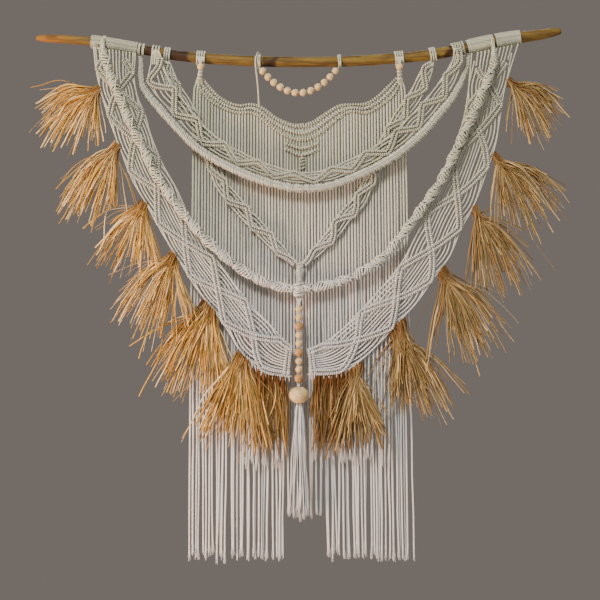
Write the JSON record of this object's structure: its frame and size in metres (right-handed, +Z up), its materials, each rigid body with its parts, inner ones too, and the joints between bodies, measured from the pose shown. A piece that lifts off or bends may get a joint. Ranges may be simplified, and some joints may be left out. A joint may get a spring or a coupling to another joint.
{
  "type": "macrame wall hanging on a wooden branch",
  "caption": "Large knotted cotton wall hanging on a curved branch, with swags, diamond-knotted bands, a long string curtain, wooden beads and raffia tufts.",
  "frame": {"origin": "on the axis of the branch at the middle of its span", "axes": "+X along the branch to the viewer's right, +Y towards the wall behind, +Z up"},
  "size_m": [1.0625, 0.059, 1.0749],
  "materials": {
    "branch_wood": "peeled golden-brown branch with dark bark patches, satin",
    "cotton_cord": "twisted ecru cotton cord, matte",
    "raffia": "dry golden raffia, slightly glossy fibre",
    "light_bead": "plain light wooden bead, satin",
    "brown_bead": "brown stained wooden bead, satin"
  },
  "bodies": {
    "root": {"branch": "branch_wood", "curtain": "cotton_cord", "corner_bead_l": "light_bead", "corner_bead_r": "light_bead", "garland_cord": "cotton_cord", "garland_bead_01": "light_bead", "garland_bead_02": "light_bead", "garland_bead_03": "light_bead", "garland_bead_04": "light_bead", "garland_bead_05": "light_bead", "garland_bead_06": "light_bead", "garland_bead_07": "light_bead", "garland_bead_08": "light_bead", "garland_bead_09": "light_bead", "garland_bead_10": "light_bead", "garland_bead_11": "light_bead", "garland_bead_12": "light_bead", "wrapped_roll": "cotton_cord", "upper_swag": "cotton_cord", "chevron_band_l": "cotton_cord", "chevron_band_r": "cotton_cord", "centre_sinnet": "cotton_cord", "spiral_swag": "cotton_cord", "outer_band_l": "cotton_cord", "outer_band_r": "cotton_cord", "raffia_l1": "raffia", "raffia_l2": "raffia", "raffia_l3": "raffia", "raffia_l4": "raffia", "raffia_l5": "raffia", "raffia_l6": "raffia", "raffia_l7": "raffia", "raffia_r1": "raffia", "raffia_r2": "raffia", "raffia_r3": "raffia", "raffia_r4": "raffia", "raffia_r5": "raffia", "raffia_r6": "raffia", "raffia_r7": "raffia", "cord_fringe_l": "cotton_cord", "cord_fringe_r": "cotton_cord", "strand_cords": "cotton_cord", "strand_bead_1": "light_bead", "strand_bead_2": "light_bead", "strand_bead_3": "brown_bead", "strand_bead_4": "light_bead", "strand_bead_5": "light_bead", "strand_bead_6": "brown_bead", "strand_bead_7": "light_bead", "strand_bead_8": "light_bead", "strand_bead_9": "brown_bead", "big_bead": "light_bead", "tassel": "cotton_cord"}
  },
  "joints": []
}
